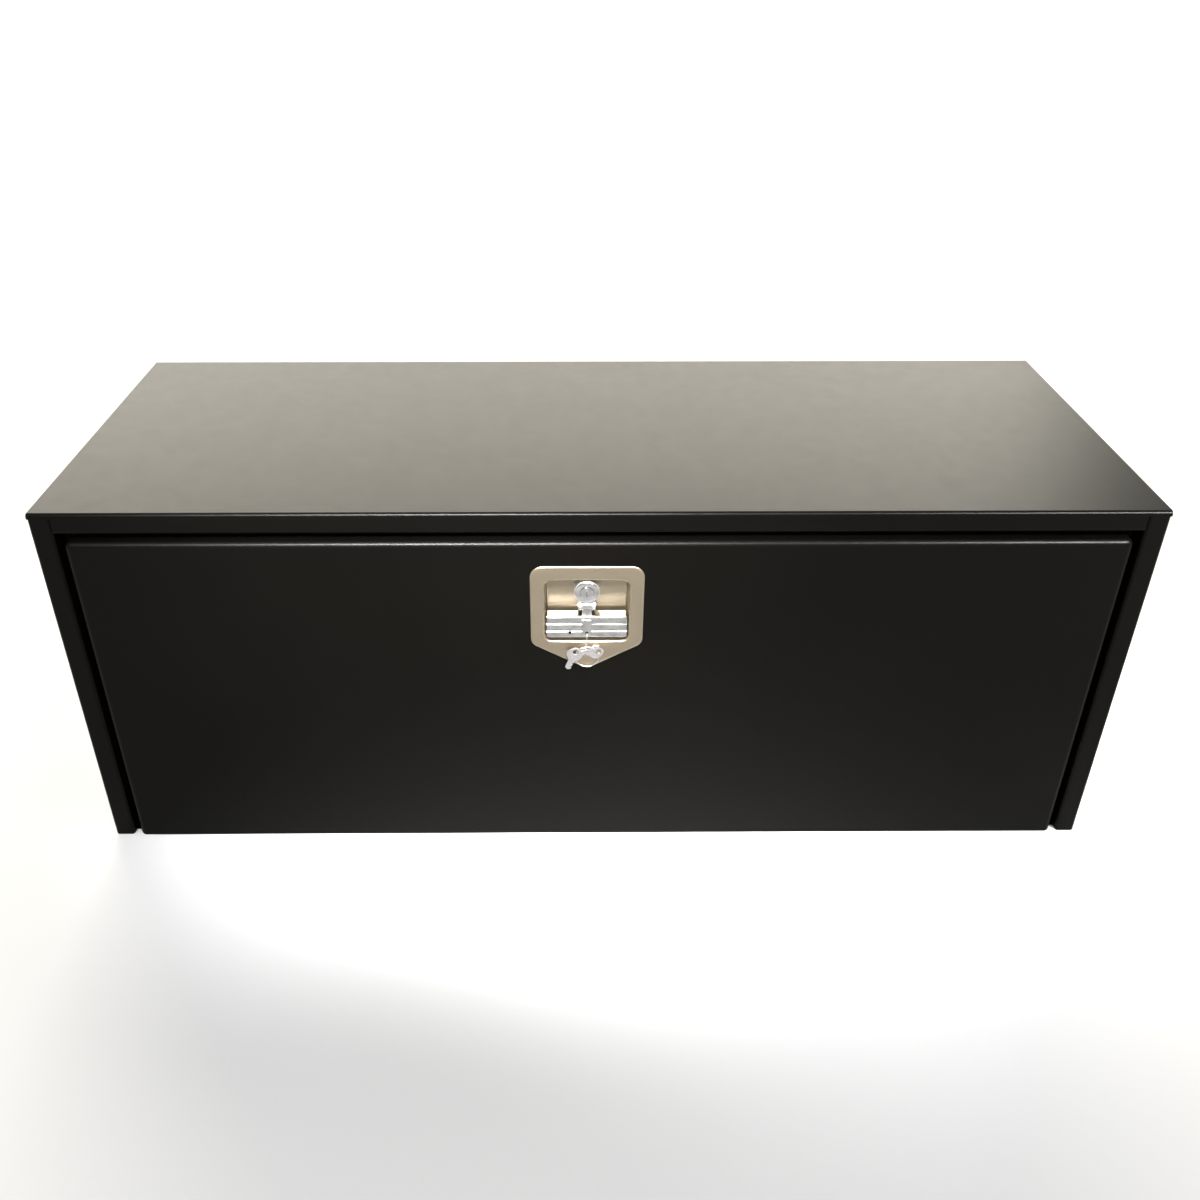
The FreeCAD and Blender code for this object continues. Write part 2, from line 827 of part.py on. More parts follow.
def key(bow_x, bow_z, tilt, y0):
    """Flat key: a round bow with a hole, and a blade that hangs at the given tilt."""
    bow = rod(key_bow_radius, y0, y0 + key_thickness, 0, 0)
    blade = block(-key_blade_half_width, key_blade_half_width, y0, y0 + key_thickness,
                  -key_bow_radius - key_blade_length, 0)
    shape = bow.fuse(blade)
    before = y0 - 1
    beyond = y0 + key_thickness + 1
    shape = shape.cut(rod(key_bow_hole_radius, before, beyond, 0, key_hole_offset))
    for i in range(key_notch_count):
        notch_z = -key_bow_radius - (i + 0.5) * key_notch_pitch
        notch = rod(key_notch_radius, before, beyond, key_blade_half_width + 0.5, notch_z)
        shape = shape.cut(notch)
    shape = shape.removeSplitter()
    shape.rotate(Vector(0, 0, 0), Vector(0, 1, 0), tilt)
    shape.translate(Vector(bow_x, 0, bow_z))
    return shape


# ---- the assembly ----

def build():
    """Every node by name. A list is a group of identical separate pieces."""
    nodes = {}
    nodes["roof_panel"] = roof_panel()
    nodes["back_panel"] = back_panel()
    floor = floor_panel()
    for x in hinge_rivet_places():
        floor = floor.cut(rod(hinge_rivet_radius, -260, -200, x, hinge_rivet_z))
    nodes["floor_panel"] = floor
    nodes["left_end_panel"] = left_end_panel()
    nodes["right_end_panel"] = mirrored(left_end_panel())
    nodes["sill_angle"] = sill_angle()
    nodes["door_seal"] = door_seal()
    nodes["door_outer_panel"] = door_outer_panel()
    nodes["door_inner_panel"] = door_inner_panel()
    box_leaf, door_leaf, pin = hinge_leaves()
    nodes["hinge_box_leaf"] = box_leaf
    nodes["hinge_door_leaf"] = door_leaf
    nodes["hinge_pin"] = pin
    nodes["hinge_rivets"] = hinge_rivets()
    nodes["latch_dish"] = latch_dish()
    nodes["latch_studs"] = latch_studs()
    nodes["latch_seal"] = latch_seal()
    nodes["latch_nuts"] = latch_nuts()
    nodes["lock_housing"] = lock_housing()
    nodes["lock_bezel"] = lock_bezel()
    nodes["housing_nut"] = housing_nut()
    nodes["key_plug"] = key_plug()
    nodes["t_bar"] = t_bar()
    nodes["t_bar_pin"] = t_bar_pin()
    nodes["cam_spindle"] = cam_spindle()
    nodes["latch_cam"] = latch_cam()
    nodes["cam_washer"] = cam_washer_ring()
    nodes["cam_nut"] = cam_nut_hexagon()
    nodes["key_ring"] = key_ring()
    nodes["key_tie"] = key_tie()
    nodes["front_key"] = key(latch_x - 14.0, 281.5, 22.0, ring_y - ring_wire - key_thickness - 0.1)
    nodes["back_key"] = key(latch_x + 10.0, 283.0, 84.0, ring_y + ring_wire + 0.1)
    return nodes


def main():
    os.makedirs("parts", exist_ok=True)
    for name, shape in build().items():
        if isinstance(shape, list):
            shape = Part.makeCompound(shape)
        shape.exportStep(f"parts/{name}.step")
        print(name, shape.ShapeType, len(shape.Solids), shape.isValid(), round(shape.Volume))


main()
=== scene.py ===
import json
import math

import bmesh
import bpy
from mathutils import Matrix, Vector


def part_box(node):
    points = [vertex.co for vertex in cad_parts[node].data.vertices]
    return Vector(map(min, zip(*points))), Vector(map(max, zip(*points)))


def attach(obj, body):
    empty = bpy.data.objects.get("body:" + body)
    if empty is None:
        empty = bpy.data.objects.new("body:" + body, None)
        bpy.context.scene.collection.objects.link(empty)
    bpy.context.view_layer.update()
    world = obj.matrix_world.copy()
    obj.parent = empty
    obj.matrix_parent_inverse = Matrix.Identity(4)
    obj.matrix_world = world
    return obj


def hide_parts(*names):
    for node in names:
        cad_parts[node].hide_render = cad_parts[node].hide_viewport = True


# Underbody truck tool box. Metres. X to the right, Y from the door to the back, Z up.
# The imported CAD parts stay. The seal, latch plate, lock bezel, keys and key ring are replaced by
# finer ones, and weld beads are added inside the box.

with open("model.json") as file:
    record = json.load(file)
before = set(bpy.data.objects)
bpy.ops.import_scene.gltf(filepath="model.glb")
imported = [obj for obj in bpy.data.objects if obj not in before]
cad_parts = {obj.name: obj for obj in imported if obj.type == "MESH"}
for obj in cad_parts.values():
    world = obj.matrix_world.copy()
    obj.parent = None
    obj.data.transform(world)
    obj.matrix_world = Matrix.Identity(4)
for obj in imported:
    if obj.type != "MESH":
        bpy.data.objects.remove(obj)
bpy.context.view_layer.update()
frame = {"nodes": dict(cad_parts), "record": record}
nodes = frame["nodes"]

MM = 0.001


# ---- places taken from the CAD frame ----

DISH_LOW, DISH_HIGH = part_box("latch_dish")
LATCH_X = (DISH_LOW.x + DISH_HIGH.x) / 2
DISH_HALF_WIDTH = (DISH_HIGH.x - DISH_LOW.x) / 2
DISH_FRONT_Y = DISH_LOW.y
SEAL_LOW, SEAL_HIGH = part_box("door_seal")
LIP_Y = SEAL_HIGH.y
END_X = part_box("right_end_panel")[1].x
BACK_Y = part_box("back_panel")[1].y
FLOOR_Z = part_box("floor_panel")[0].z
ROOF_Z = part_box("roof_panel")[1].z


# ---- sizes of the CAD parts that the frame doesn't give ----

SHEET = 2.0 * MM
PLUG_RADIUS = 7.5 * MM
DISH_SHEET = 1.4 * MM
SHOULDER_Z = 293.0 * MM
POINT_Z = 258.5 * MM
FLANGE_CORNERS = [14 * MM, 14 * MM, 12 * MM, 14 * MM, 12 * MM]
RECESS_HALF_WIDTH = 46.8 * MM
RECESS_LOW_Z = 297.0 * MM
RECESS_HIGH_Z = 376.0 * MM
RECESS_DEPTH = 22.0 * MM
RECESS_CORNER = 8.0 * MM
KEY_BOW = 9.0 * MM
KEY_BLADE_LENGTH = 12.0 * MM
KEY_BLADE_HALF_WIDTH = 3.8 * MM
KEY_HOLE_RADIUS = 3.2 * MM
KEY_HOLE_OFFSET = 3.8 * MM


# ---- sizes of the detail that only this model has ----

ROLLED_EDGE = 3.2 * MM
RIM_LAND = 0.2 * MM
MOUTH_ROUND = 2.6 * MM
FLOOR_ROUND = 3.2 * MM
CORNER_STEPS = 8
QUARTER_TURN = [math.radians(15 * k) for k in range(7)]
# How far the shoulders and the point rise as the flange's edge is drawn in, so that it stays even.
SHOULDER_RISE = 0.35
POINT_RISE = 1.1
SEAL_WIDTH = 10 * MM
SEAL_CORNER = 10 * MM
SEAL_FOOT = 1.6 * MM
BULB_CLEARANCE = 0.2 * MM
BEZEL_CLEARANCE = 0.15 * MM
BEZEL_EDGE = 0.3 * MM
BEZEL_FLAT = 1.6 * MM
BEZEL_STEPS = 8
TURNED_SIDES = 64
WELD_RADIUS = 2.4 * MM
WELD_RIPPLE = 1.5 * MM
WELD_LENGTH = 30 * MM
WELD_SIDES = 7
# Shares of a bead's length or radius: the taper at each end, the size of its end, a ripple's
# valley, and what a crest adds.
WELD_TAPER = 1 / 30
WELD_END = 0.15
WELD_VALLEY = 0.86
WELD_CREST = 0.14
FIRST_SIDE_WELD_Y = -130 * MM
SIDE_WELD_PITCH = 95 * MM
FIRST_UPRIGHT_WELD_Z = 45 * MM
UPRIGHT_WELD_PITCH = 105 * MM
FIRST_BACK_WELD_X = -540 * MM
BACK_WELD_PITCH = 131.25 * MM
KEY_EDGE = 0.25 * MM
KEY_CUT_DEPTHS = (0.6 * MM, 1.9 * MM, 1.1 * MM, 2.2 * MM)
KEY_BOW_STEPS = 28
KEY_HOLE_STEPS = 24
RING_WIRE = 0.48 * MM
RING_HALF_WIDTH = 0.9 * MM
RING_TURNS = 2.1
RING_STEPS = 66


# ---- materials ----

class Shader:
    """A Principled material with a few helpers for its node tree."""

    def __init__(self, name, color, roughness, metallic=0.0, specular=0.5):
        self.material = bpy.data.materials.new(name)
        self.material.use_nodes = True
        self.tree = self.material.node_tree
        self.out = self.tree.nodes["Principled BSDF"]
        self.set("Base Color", (*color, 1.0))
        self.set("Roughness", roughness)
        self.set("Metallic", metallic)
        self.set("Specular IOR Level", specular)
        self.place = self.node("ShaderNodeTexCoord").outputs["Object"]

    def node(self, kind):
        return self.tree.nodes.new(kind)

    def link(self, source, target):
        self.tree.links.new(source, target)

    def set(self, socket, value):
        self.out.inputs[socket].default_value = value

    def stretched(self, scale):
        """Object coordinates, scaled by its own amount on each axis."""
        mapping = self.node("ShaderNodeMapping")
        mapping.inputs["Scale"].default_value = scale
        self.link(self.place, mapping.inputs["Vector"])
        return mapping.outputs["Vector"]

    def noise(self, scale, detail=3.0, place=None):
        texture = self.node("ShaderNodeTexNoise")
        texture.inputs["Scale"].default_value = scale
        texture.inputs["Detail"].default_value = detail
        self.link(place or self.place, texture.inputs["Vector"])
        return texture.outputs["Fac"]

    def between(self, value, low, high):
        """Noise, which stays near its middle, becomes low to high."""
        spread = self.node("ShaderNodeMapRange")
        spread.inputs["From Min"].default_value = 0.3
        spread.inputs["From Max"].default_value = 0.7
        spread.inputs["To Min"].default_value = low
        spread.inputs["To Max"].default_value = high
        self.link(value, spread.inputs["Value"])
        return spread.outputs["Result"]

    def color_between(self, value, first, second):
        mix = self.node("ShaderNodeMix")
        mix.data_type = "RGBA"
        mix.inputs["A"].default_value = (*first, 1.0)
        mix.inputs["B"].default_value = (*second, 1.0)
        self.link(value, mix.inputs["Factor"])
        self.link(mix.outputs["Result"], self.out.inputs["Base Color"])

    def vary_roughness(self, value, low, high):
        self.link(self.between(value, low, high), self.out.inputs["Roughness"])

    def bump(self, value, depth):
        """Relief of the given depth in metres, on top of any relief before it."""
        relief = self.node("ShaderNodeBump")
        relief.inputs["Distance"].default_value = depth
        self.link(value, relief.inputs["Height"])
        normal = self.out.inputs["Normal"]
        if normal.links:
            self.link(normal.links[0].from_socket, relief.inputs["Normal"])
        self.link(relief.outputs["Normal"], normal)


def powder_coat():
    shader = Shader("black_powder_coat", (0.0014, 0.0012, 0.0009), 0.33, specular=0.06)
    broad = shader.noise(5.0, 3.0)
    shader.color_between(broad, (0.0011, 0.0009, 0.0007), (0.0017, 0.0015, 0.0011))
    shader.vary_roughness(shader.noise(60.0, 4.0), 0.318, 0.342)
    shader.bump(shader.noise(420.0, 2.0), 0.00003)
    shader.bump(shader.noise(1500.0, 1.0), 0.00001)
    return shader.material


def stainless():
    shader = Shader("satin_stainless", (0.33, 0.275, 0.205), 0.36, metallic=1.0)
    brushed = shader.noise(60.0, 5.0, shader.stretched((6.0, 40.0, 60.0)))
    shader.color_between(shader.noise(25.0, 4.0), (0.295, 0.245, 0.18), (0.365, 0.31, 0.23))
    shader.vary_roughness(brushed, 0.30, 0.42)
    shader.bump(brushed, 0.00001)
    return shader.material


def chrome():
    shader = Shader("bright_chrome", (0.62, 0.61, 0.60), 0.12, metallic=1.0)
    shader.vary_roughness(shader.noise(180.0, 4.0), 0.06, 0.18)
    # Painted reflection: the chrome's colour is mottled from dark grey to near white in large
    # patches to stand in for smeared reflections.
    shader.color_between(shader.noise(110.0, 2.0), (0.34, 0.33, 0.32), (0.84, 0.835, 0.82))
    shader.bump(shader.noise(160.0, 2.0), 0.00015)
    return shader.material


def steel():
    shader = Shader("hinge_steel", (0.46, 0.455, 0.44), 0.4, metallic=1.0)
    rolled = shader.noise(50.0, 4.0, shader.stretched((1.0, 30.0, 30.0)))
    shader.color_between(shader.noise(30.0, 4.0), (0.40, 0.395, 0.38), (0.52, 0.515, 0.50))
    shader.vary_roughness(rolled, 0.32, 0.48)
    shader.bump(rolled, 0.00002)
    return shader.material


def zinc():
    shader = Shader("zinc_plate", (0.60, 0.60, 0.58), 0.36, metallic=1.0)
    shader.color_between(shader.noise(220.0, 3.0), (0.52, 0.53, 0.53), (0.68, 0.67, 0.63))
    shader.vary_roughness(shader.noise(300.0, 3.0), 0.28, 0.46)
    shader.bump(shader.noise(900.0, 2.0), 0.00001)
    return shader.material


def nickel():
    shader = Shader("nickel_plate", (0.74, 0.72, 0.70), 0.22, metallic=1.0)
    shader.color_between(shader.noise(150.0, 3.0), (0.66, 0.64, 0.62), (0.82, 0.79, 0.80))
    shader.vary_roughness(shader.noise(400.0, 4.0), 0.15, 0.32)
    shader.bump(shader.noise(700.0, 2.0), 0.00001)
    return shader.material


def rubber():
    shader = Shader("black_rubber", (0.018, 0.018, 0.018), 0.62, specular=0.3)
    shader.color_between(shader.noise(60.0, 4.0), (0.014, 0.014, 0.014), (0.026, 0.026, 0.025))
    shader.vary_roughness(shader.noise(90.0, 3.0), 0.52, 0.72)
    shader.bump(shader.noise(1100.0, 3.0), 0.00003)
    return shader.material


def studio_floor():
    shader = Shader("studio_floor", (0.86, 0.86, 0.86), 0.9, specular=0.1)
    shader.color_between(shader.noise(2.0, 3.0), (0.85, 0.85, 0.85), (0.88, 0.88, 0.88))
    return shader.material


MATERIALS = {
    "black_powder_coat": powder_coat(),
    "hinge_steel": steel(),
    "black_rubber": rubber(),
    "stainless": stainless(),
    "bright_chrome": chrome(),
    "zinc_plate": zinc(),
    "nickel_plate": nickel(),
}


def dress_cad_nodes():
    """Give every CAD node the finish of its own slot."""
    for row in frame["record"]["subparts"]:
        mesh = nodes[row["node"]].data
        mesh.materials.clear()
        mesh.materials.append(MATERIALS[row["material_slot"]])


# ---- mesh tools ----

def piece(name, mesh, body, slot, smooth=True):
    """Put a finished mesh into the scene on its body, in its slot's finish."""
    thing = bpy.data.objects.new(name, mesh)
    bpy.context.scene.collection.objects.link(thing)
    mesh.materials.clear()
    mesh.materials.append(MATERIALS[slot])
    for face in mesh.polygons:
        face.use_smooth = smooth
    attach(thing, body)
    return thing


def rings_to_mesh(name, rings, close_rings=False, cap=False):
    """Skin over rings of points. close_rings joins the last ring to the first."""
    bm = bmesh.new()
    rows = [[bm.verts.new(point) for point in ring] for ring in rings]
    pairs = list(zip(rows, rows[1:]))
    if close_rings:
        pairs.append((rows[-1], rows[0]))
    count = len(rows[0])
    for one, two in pairs:
        for i in range(count):
            j = (i + 1) % count
            bm.faces.new((one[i], one[j], two[j], two[i]))
    if cap:
        bm.faces.new(rows[0])
        bm.faces.new(list(reversed(rows[-1])))
    bmesh.ops.recalc_face_normals(bm, faces=bm.faces)
    mesh = bpy.data.meshes.new(name)
    bm.to_mesh(mesh)
    bm.free()
    return mesh


def rounded_loop(corners, radii, steps):
    """Points round a convex outline in two coordinates, each corner with its own radius."""
    points = []
    count = len(corners)
    for i, corner in enumerate(corners):
        corner = Vector(corner)
        back = (Vector(corners[i - 1]) - corner).normalized()
        ahead = (Vector(corners[(i + 1) % count]) - corner).normalized()
        half = back.angle(ahead) / 2
        start = corner + back * (radii[i] / math.tan(half))
        end = corner + ahead * (radii[i] / math.tan(half))
        centre = corner + (back + ahead).normalized() * (radii[i] / math.sin(half))
        for k in range(steps + 1):
            mixed = start.lerp(end, k / steps) - centre
            points.append(centre + mixed.normalized() * radii[i])
    return points


def angles_of(points, centre):
    return [math.atan2(p[1] - centre[1], p[0] - centre[0]) for p in points]


def ray_ring(outline, centre, angles):
    """Where a ray from the centre at each angle meets the outline."""
    ring = []
    count = len(outline)
    for angle in angles:
        ray = Vector((math.cos(angle), math.sin(angle)))
        reach = 0.0
        for i in range(count):
            one = Vector(outline[i]) - Vector(centre)
            two = Vector(outline[(i + 1) % count]) - Vector(centre)
            step = two - one
            cross = ray.x * step.y - ray.y * step.x
            if abs(cross) < 1e-12:
                continue
            share = (one.y * ray.x - one.x * ray.y) / -cross
            distance = (one.x * step.y - one.y * step.x) / cross
            if -1e-6 <= share <= 1.0 + 1e-6 and distance > reach:
                reach = distance
        ring.append((centre[0] + ray.x * reach, centre[1] + ray.y * reach))
    return ring


def flat_shape(name, loops, thickness, edge):
    """Flat plate from an outline and its holes, with small rounded edges, lying in X-Y."""
    curve = bpy.data.curves.new(name, "CURVE")
    curve.dimensions = "2D"
    curve.fill_mode = "BOTH"
    curve.extrude = thickness / 2 - edge
    curve.bevel_depth = edge
    curve.bevel_resolution = 2
    curve.offset = -edge
    for loop in loops:
        spline = curve.splines.new("POLY")
        spline.points.add(len(loop) - 1)
        for point, (x, y) in zip(spline.points, loop):
            point.co = (x, y, 0.0, 1.0)
        spline.use_cyclic_u = True
    return settled(name, curve)


def bent_tube(name, points, radius):
    """Round wire along a smooth line of points."""
    curve = bpy.data.curves.new(name, "CURVE")
    curve.dimensions = "3D"
    curve.bevel_depth = radius
    curve.bevel_resolution = 4
    curve.use_fill_caps = True
    curve.resolution_u = 6
    spline = curve.splines.new("NURBS")
    spline.points.add(len(points) - 1)
    for point, place in zip(spline.points, points):
        point.co = (*place, 1.0)
    spline.order_u = 3
    spline.use_endpoint_u = True
    return settled(name, curve)


def settled(name, curve):
    """The finished mesh of a curve."""
    holder = bpy.data.objects.new(name, curve)
    mesh = bpy.data.meshes.new_from_object(holder)
    bpy.data.objects.remove(holder)
    mesh.name = name
    return mesh


# ---- bulb seal ----

def seal_path():
    """Middle line of the seal, seen from the front."""
    half = (SEAL_HIGH.x - SEAL_LOW.x) / 2
    tall = (SEAL_HIGH.z - SEAL_LOW.z) / 2
    mid_z = (SEAL_LOW.z + SEAL_HIGH.z) / 2
    inset = SEAL_WIDTH / 2
    corners = [
        (-half + inset, mid_z - tall + inset),
        (half - inset, mid_z - tall + inset),
        (half - inset, mid_z + tall - inset),
        (-half + inset, mid_z + tall - inset),
    ]
    return rounded_loop(corners, [SEAL_CORNER] * 4, CORNER_STEPS)


def seal_profile():
    """Section of the seal: width, and height off the lip. A round bulb stands on a flat foot."""
    depth = LIP_Y - SEAL_LOW.y
    bulb = depth / 2 - BULB_CLEARANCE
    profile = [(-SEAL_WIDTH / 2, 0.0), (-SEAL_WIDTH / 2, SEAL_FOOT)]
    for k in range(15):
        angle = math.radians(205 - k * 230 / 14)
        profile.append((bulb * math.cos(angle), depth / 2 + bulb * math.sin(angle)))
    profile += [(SEAL_WIDTH / 2, SEAL_FOOT), (SEAL_WIDTH / 2, 0.0)]
    return profile


def bulb_seal():
    """Rubber bulb in one loop round the opening."""
    path = seal_path()
    profile = seal_profile()
    rings = []
    count = len(path)
    for i, point in enumerate(path):
        along = (path[(i + 1) % count] - path[i - 1]).normalized()
        outward = Vector((along.y, -along.x))
        rings.append([
            (point.x + outward.x * u, LIP_Y - v, point.y + outward.y * u)
            for u, v in profile
        ])
    mesh = rings_to_mesh("bulb_seal", rings, close_rings=True)
    seal = piece("bulb_seal", mesh, "box", "black_rubber")
    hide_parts("door_seal")


# ---- latch ----

def flange_outline(inset):
    """The plate's five-sided outline, drawn in by inset."""
    rise = inset * SHOULDER_RISE
    corners = [
        (LATCH_X - DISH_HALF_WIDTH + inset, DISH_HIGH.z - inset),
        (LATCH_X + DISH_HALF_WIDTH - inset, DISH_HIGH.z - inset),
        (LATCH_X + DISH_HALF_WIDTH - inset, SHOULDER_Z + rise),
        (LATCH_X, POINT_Z + inset * POINT_RISE),
        (LATCH_X - DISH_HALF_WIDTH + inset, SHOULDER_Z + rise),
    ]
    radii = [max(radius - inset, 2 * MM) for radius in FLANGE_CORNERS]
    return rounded_loop(corners, radii, CORNER_STEPS)


def recess_outline(grow):
    """The recess's outline, grown by the given amount."""
    half = RECESS_HALF_WIDTH + grow
    low = RECESS_LOW_Z - grow
    high = RECESS_HIGH_Z + grow
    corners = [
        (LATCH_X - half, high),
        (LATCH_X + half, high),
        (LATCH_X + half, low),
        (LATCH_X - half, low),
    ]
    return rounded_loop(corners, [RECESS_CORNER + grow] * 4, CORNER_STEPS)


def plate_rows():
    """Outlines and their Y: out along the plate's back, over its rim, and in along its front."""
    floor_y = DISH_FRONT_Y + RECESS_DEPTH
    back_y = DISH_FRONT_Y + DISH_SHEET
    rows = [
        (recess_outline(-4.6 * MM), floor_y + DISH_SHEET),
        (recess_outline(-3.4 * MM), floor_y + DISH_SHEET),
        (recess_outline(-1.2 * MM), floor_y + DISH_SHEET - 0.6 * MM),
        (recess_outline(0.2 * MM), floor_y - 1.4 * MM),
        (recess_outline(1.3 * MM), back_y + 2.0 * MM),
        (recess_outline(2.2 * MM), back_y),
        (flange_outline(2.0 * MM), back_y),
        (flange_outline(0.3 * MM), back_y),
    ]
    rim_y = back_y - RIM_LAND
    for angle in QUARTER_TURN:
        inset = ROLLED_EDGE * (1 - math.cos(angle))
        rows.append((flange_outline(inset), rim_y - (DISH_SHEET - RIM_LAND) * math.sin(angle)))
    rows.append((flange_outline(ROLLED_EDGE + 0.5 * MM), DISH_FRONT_Y))
    rows.append((recess_outline(MOUTH_ROUND + 0.6 * MM), DISH_FRONT_Y))
    for angle in QUARTER_TURN:
        grow = MOUTH_ROUND * (1 - math.sin(angle))
        rows.append((recess_outline(grow), DISH_FRONT_Y + MOUTH_ROUND * (1 - math.cos(angle))))
    for angle in QUARTER_TURN:
        grow = -0.8 * MM - FLOOR_ROUND * (1 - math.cos(angle))
        rows.append((recess_outline(grow), floor_y - FLOOR_ROUND * (1 - math.sin(angle))))
    rows.append((recess_outline(-1.6 * MM - FLOOR_ROUND), floor_y))
    return rows


def latch_plate():
    """Pressed dish: a five-sided flange with a rolled edge, and a deep recess with soft corners."""
    centre = (LATCH_X, (RECESS_LOW_Z + RECESS_HIGH_Z) / 2)
    directions = sorted(
        angles_of(flange_outline(0.0), centre) + angles_of(recess_outline(0.0), centre)
    )
    rings = []
    for outline, y in plate_rows():
        rings.append([(x, y, z) for x, z in ray_ring(outline, centre, directions)])
    plate = piece("latch_plate", rings_to_mesh("latch_plate", rings, cap=True), "door", "stainless")
    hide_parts("latch_dish")


def turned_ring(name, profile, centre, body, slot):
    """Ring turned about the Y axis from a profile of radius and Y."""
    rings = []
    for radius, y in profile:
        rings.append([
            (
                centre.x + radius * math.cos(2 * math.pi * k / TURNED_SIDES),
                y,
                centre.z + radius * math.sin(2 * math.pi * k / TURNED_SIDES),
            )
            for k in range(TURNED_SIDES)
        ])
    return piece(name, rings_to_mesh(name, rings, close_rings=True), body, slot)


def lock_bezel():
    """Domed bright ring round the key plug."""
    low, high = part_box("lock_bezel")
    centre = (low + high) / 2
    outer = (high.x - low.x) / 2
    inner = PLUG_RADIUS + BEZEL_CLEARANCE
    profile = [(inner, high.y), (inner, low.y + BEZEL_EDGE), (inner + BEZEL_EDGE, low.y)]
    for k in range(1, BEZEL_STEPS + 1):
        angle = math.radians(k * 90 / BEZEL_STEPS)
        radius = inner + BEZEL_FLAT + (outer - inner - BEZEL_FLAT) * math.sin(angle)
        profile.append((radius, high.y - (high.y - low.y) * math.cos(angle)))
    bezel = turned_ring("domed_bezel", profile, centre, "door", "bright_chrome")
    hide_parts("lock_bezel")


# ---- weld beads ----

def weld_bead(name, start, direction, corner):
    """Rippled fillet weld from start along a direction, bulging towards the given side."""
    end = Vector([value + step * WELD_LENGTH for value, step in zip(start, direction)])
    start = Vector(start)
    length = (end - start).length
    along = (end - start).normalized()
    out = Vector(corner).normalized()
    across = along.cross(out)
    count = int(length / WELD_RIPPLE)
    rings = []
    for i in range(count + 1):
        from_end = min(i, count - i) / count
        taper = max(min(1.0, from_end / WELD_TAPER), WELD_END)
        swell = WELD_RADIUS * (WELD_VALLEY + WELD_CREST * (i % 2)) * taper
        place = start + along * (length * i / count)
        ring = []
        for k in range(WELD_SIDES + 1):
            angle = math.radians(-100 + k * 200 / WELD_SIDES)
            ring.append(place + out * (swell * math.cos(angle)) + across * (swell * math.sin(angle)))
        rings.append(ring)
    piece(name, rings_to_mesh(name, rings, cap=True), "box", "black_powder_coat")


def weld_beads():
    """Short welds inside the box, where the end walls and back meet the floor and top."""
    inner_y = BACK_Y - SHEET
    floor_z = FLOOR_Z + SHEET
    roof_z = ROOF_Z - SHEET
    backward = (0.0, 1.0, 0.0)
    upward = (0.0, 0.0, 1.0)
    sideways = (1.0, 0.0, 0.0)
    for side, label in ((-1, "left"), (1, "right")):
        x = side * (END_X - SHEET)
        for k in range(4):
            y = FIRST_SIDE_WELD_Y + k * SIDE_WELD_PITCH
            weld_bead(f"{label}_floor_weld_{k}", (x, y, floor_z), backward, (-side, 0.0, 1.0))
            weld_bead(f"{label}_roof_weld_{k}", (x, y, roof_z), backward, (-side, 0.0, -1.0))
        for k in range(4):
            z = FIRST_UPRIGHT_WELD_Z + k * UPRIGHT_WELD_PITCH
            weld_bead(f"{label}_back_weld_{k}", (x, inner_y, z), upward, (-side, -1.0, 0.0))
    for k in range(9):
        x = FIRST_BACK_WELD_X + k * BACK_WELD_PITCH
        weld_bead(f"back_floor_weld_{k}", (x, inner_y, floor_z), sideways, (0.0, -1.0, 1.0))


# ---- keys ----

def key_bow():
    """Slightly squared bow, open at the bottom where the blade joins it."""
    bow = []
    for k in range(KEY_BOW_STEPS + 1):
        angle = math.radians(-62 + k * 304 / KEY_BOW_STEPS)
        reach = KEY_BOW * (1.0 + 0.05 * math.cos(4 * angle))
        bow.append((reach * math.cos(angle) * 0.96, reach * math.sin(angle)))
    return bow


def key_blade():
    """Blade down one plain side, round its tip, and up the side with the cuts."""
    half = KEY_BLADE_HALF_WIDTH
    tip = -KEY_BOW - KEY_BLADE_LENGTH
    blade = [
        (-half, -KEY_BOW - 1.5 * MM),
        (-half, tip + 2.0 * MM),
        (-0.6 * MM, tip),
        (0.8 * MM, tip + 0.2 * MM),
    ]
    pitch = (KEY_BLADE_LENGTH - 3 * MM) / len(KEY_CUT_DEPTHS)
    for k, depth in enumerate(KEY_CUT_DEPTHS):
        low = tip + 1.2 * MM + k * pitch
        blade.append((half - depth, low + 0.25 * pitch))
        blade.append((half - depth, low + 0.55 * pitch))
        blade.append((half - 0.2 * MM, low + pitch))
    blade.append((half, -KEY_BOW - 1.0 * MM))
    return blade


def key_hole():
    """Round hole in the bow, above its middle."""
    hole = []
    for k in range(KEY_HOLE_STEPS):
        angle = -2 * math.pi * k / KEY_HOLE_STEPS
        hole.append((
            KEY_HOLE_RADIUS * math.cos(angle),
            KEY_HOLE_OFFSET + KEY_HOLE_RADIUS * math.sin(angle),
        ))
    return hole


def key(name, node, lean):
    """Cut key in the place of its CAD blank, leaning the same way."""
    low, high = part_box(node)
    mesh = flat_shape(name, [key_bow() + key_blade(), key_hole()], high.y - low.y, KEY_EDGE)
    turn = math.radians(lean)
    bow_x = high.x - KEY_BOW
    bow_z = high.z - KEY_BOW
    for vertex in mesh.vertices:
        x, z, y = vertex.co
        vertex.co = (
            bow_x + x * math.cos(turn) + z * math.sin(turn),
            (low.y + high.y) / 2 + y,
            bow_z - x * math.sin(turn) + z * math.cos(turn),
        )
    shape = piece(name, mesh, "t_handle", "nickel_plate", smooth=False)
    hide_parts(node)


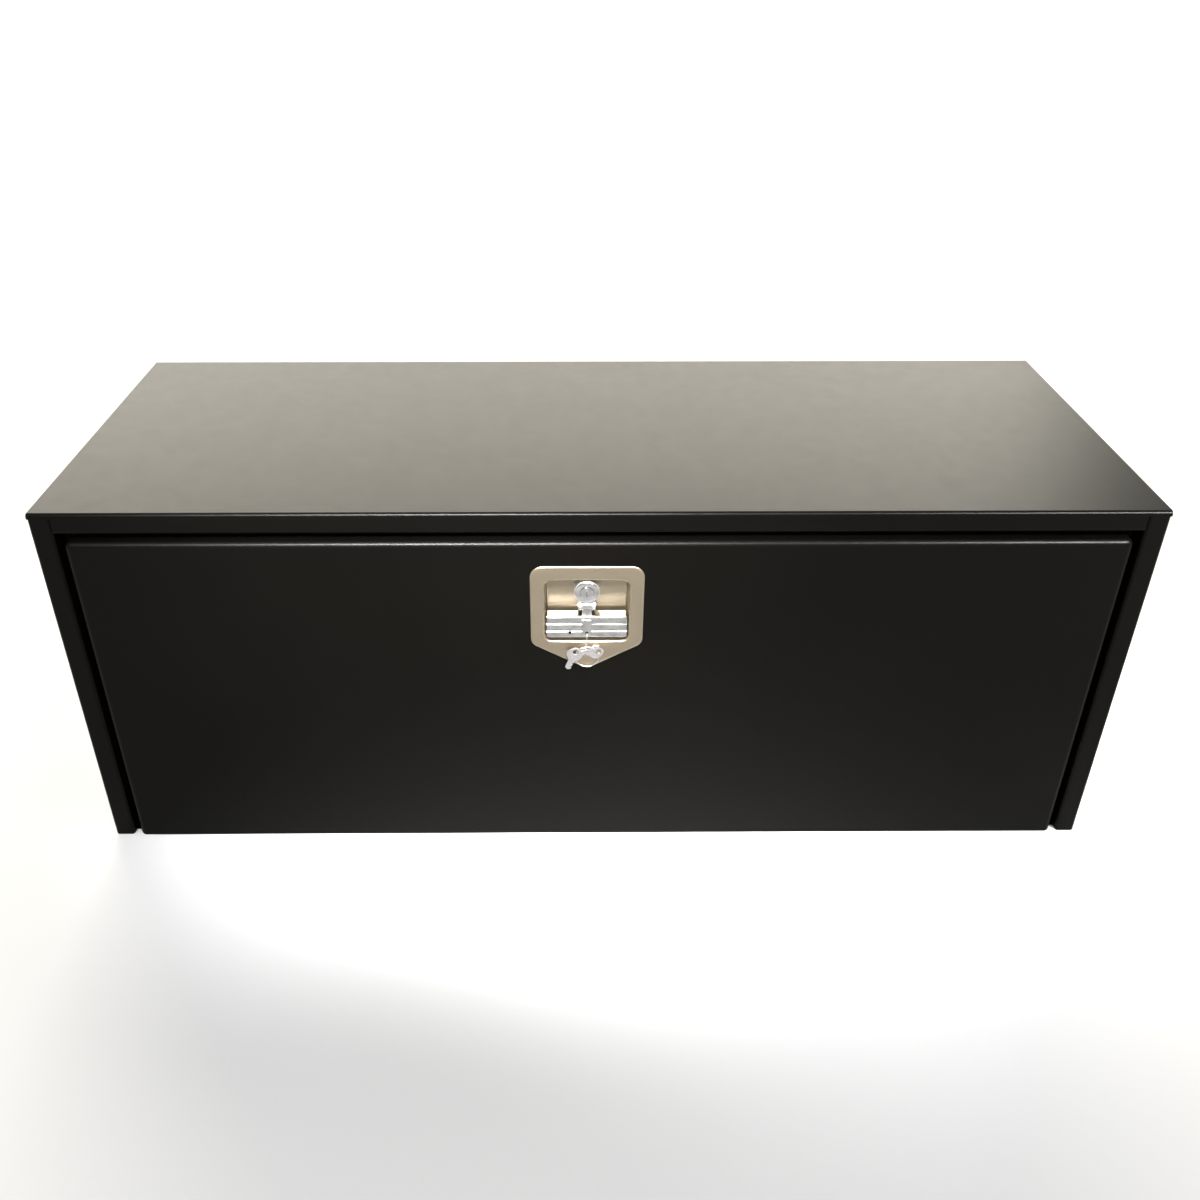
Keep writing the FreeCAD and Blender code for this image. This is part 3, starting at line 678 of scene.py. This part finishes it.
def split_ring():
    """Key ring wound from two turns of wire."""
    low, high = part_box("key_ring")
    middle = (low + high) / 2
    radius = (high.x - low.x) / 2 - RING_WIRE
    points = []
    for k in range(RING_STEPS + 1):
        angle = math.radians(70) + 2 * math.pi * RING_TURNS * k / RING_STEPS
        slide = (k / RING_STEPS - 0.5) * 2 * (RING_HALF_WIDTH - RING_WIRE)
        points.append((
            middle.x + radius * math.cos(angle),
            middle.y + slide,
            middle.z + radius * math.sin(angle),
        ))
    mesh = bent_tube("split_ring", points, RING_WIRE)
    ring = piece("split_ring", mesh, "t_handle", "nickel_plate")
    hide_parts("key_ring")


# ---- stage, light and camera ----

def stage_floor():
    mesh = bpy.data.meshes.new("floor")
    reach = 30.0
    mesh.from_pydata(
        [(-reach, -reach, 0), (reach, -reach, 0), (reach, reach, 0), (-reach, reach, 0)],
        [],
        [(0, 1, 2, 3)],
    )
    floor = bpy.data.objects.new("studio_floor", mesh)
    bpy.context.scene.collection.objects.link(floor)
    mesh.materials.append(studio_floor())


def soft_light(name, place, aim, size, power, color=(1.0, 1.0, 1.0), spread=180.0):
    light = bpy.data.lights.new(name, "AREA")
    light.shape = "RECTANGLE"
    light.size, light.size_y = size
    light.energy = power
    light.color = color
    light.spread = math.radians(spread)
    lamp = bpy.data.objects.new(name, light)
    lamp.location = place
    lamp.rotation_euler = (Vector(aim) - Vector(place)).to_track_quat("-Z", "Y").to_euler()
    bpy.context.scene.collection.objects.link(lamp)


def studio_light():
    world = bpy.data.worlds.new("studio")
    world.use_nodes = True
    background = world.node_tree.nodes["Background"]
    background.inputs["Color"].default_value = (1.0, 1.0, 1.0, 1.0)
    background.inputs["Strength"].default_value = 0.70
    bpy.context.scene.world = world
    soft_light(
        "back_panel",
        place=(-1.1, 16.0, 8.3),
        aim=(-0.3, 0.0, 0.45),
        size=(20.0, 6.5),
        power=5000,
        color=(1.0, 0.94, 0.80),
    )
    soft_light("front_fill", place=(0.0, -1.9, 3.4), aim=(0.0, -1.2, 0.0), size=(4.0, 3.0), power=34)
    strip_light("left_strip", x=-0.37, aim_x=-0.15, width=0.63, power=9.5)
    strip_light("right_strip", x=1.85, aim_x=0.57, width=0.80, power=6.5)


def strip_light(name, x, aim_x, width, power):
    """Narrow light for one stretch of the highlight along the door's rolled top edge."""
    away = 1.70
    edge_y = DISH_FRONT_Y
    edge_z = 0.42
    soft_light(
        name,
        place=(x, edge_y - away, edge_z + away),
        aim=(aim_x, edge_y, edge_z),
        size=(width, 0.45),
        power=power,
        spread=16.0,
    )


def photo_camera():
    """Camera above and in front of the box, looking down at it."""
    camera = bpy.data.cameras.new("camera")
    camera.sensor_width = 36.0
    camera.lens = 34.0
    camera.shift_x = 0.0229
    eye = bpy.data.objects.new("camera", camera)
    pitch = math.radians(32.03)
    yaw = math.radians(0.34)
    eye.location = (-0.0362, -1.2961, 1.0166)
    eye.rotation_euler = (math.pi / 2 - pitch, 0.0, -yaw)
    bpy.context.scene.collection.objects.link(eye)
    bpy.context.scene.camera = eye
    bpy.context.scene.view_settings.view_transform = "Standard"


photo_camera()
stage_floor()
studio_light()
dress_cad_nodes()
bulb_seal()
latch_plate()
lock_bezel()
weld_beads()
key("cut_front_key", "front_key", 22.0)
key("cut_back_key", "back_key", 84.0)
split_ring()
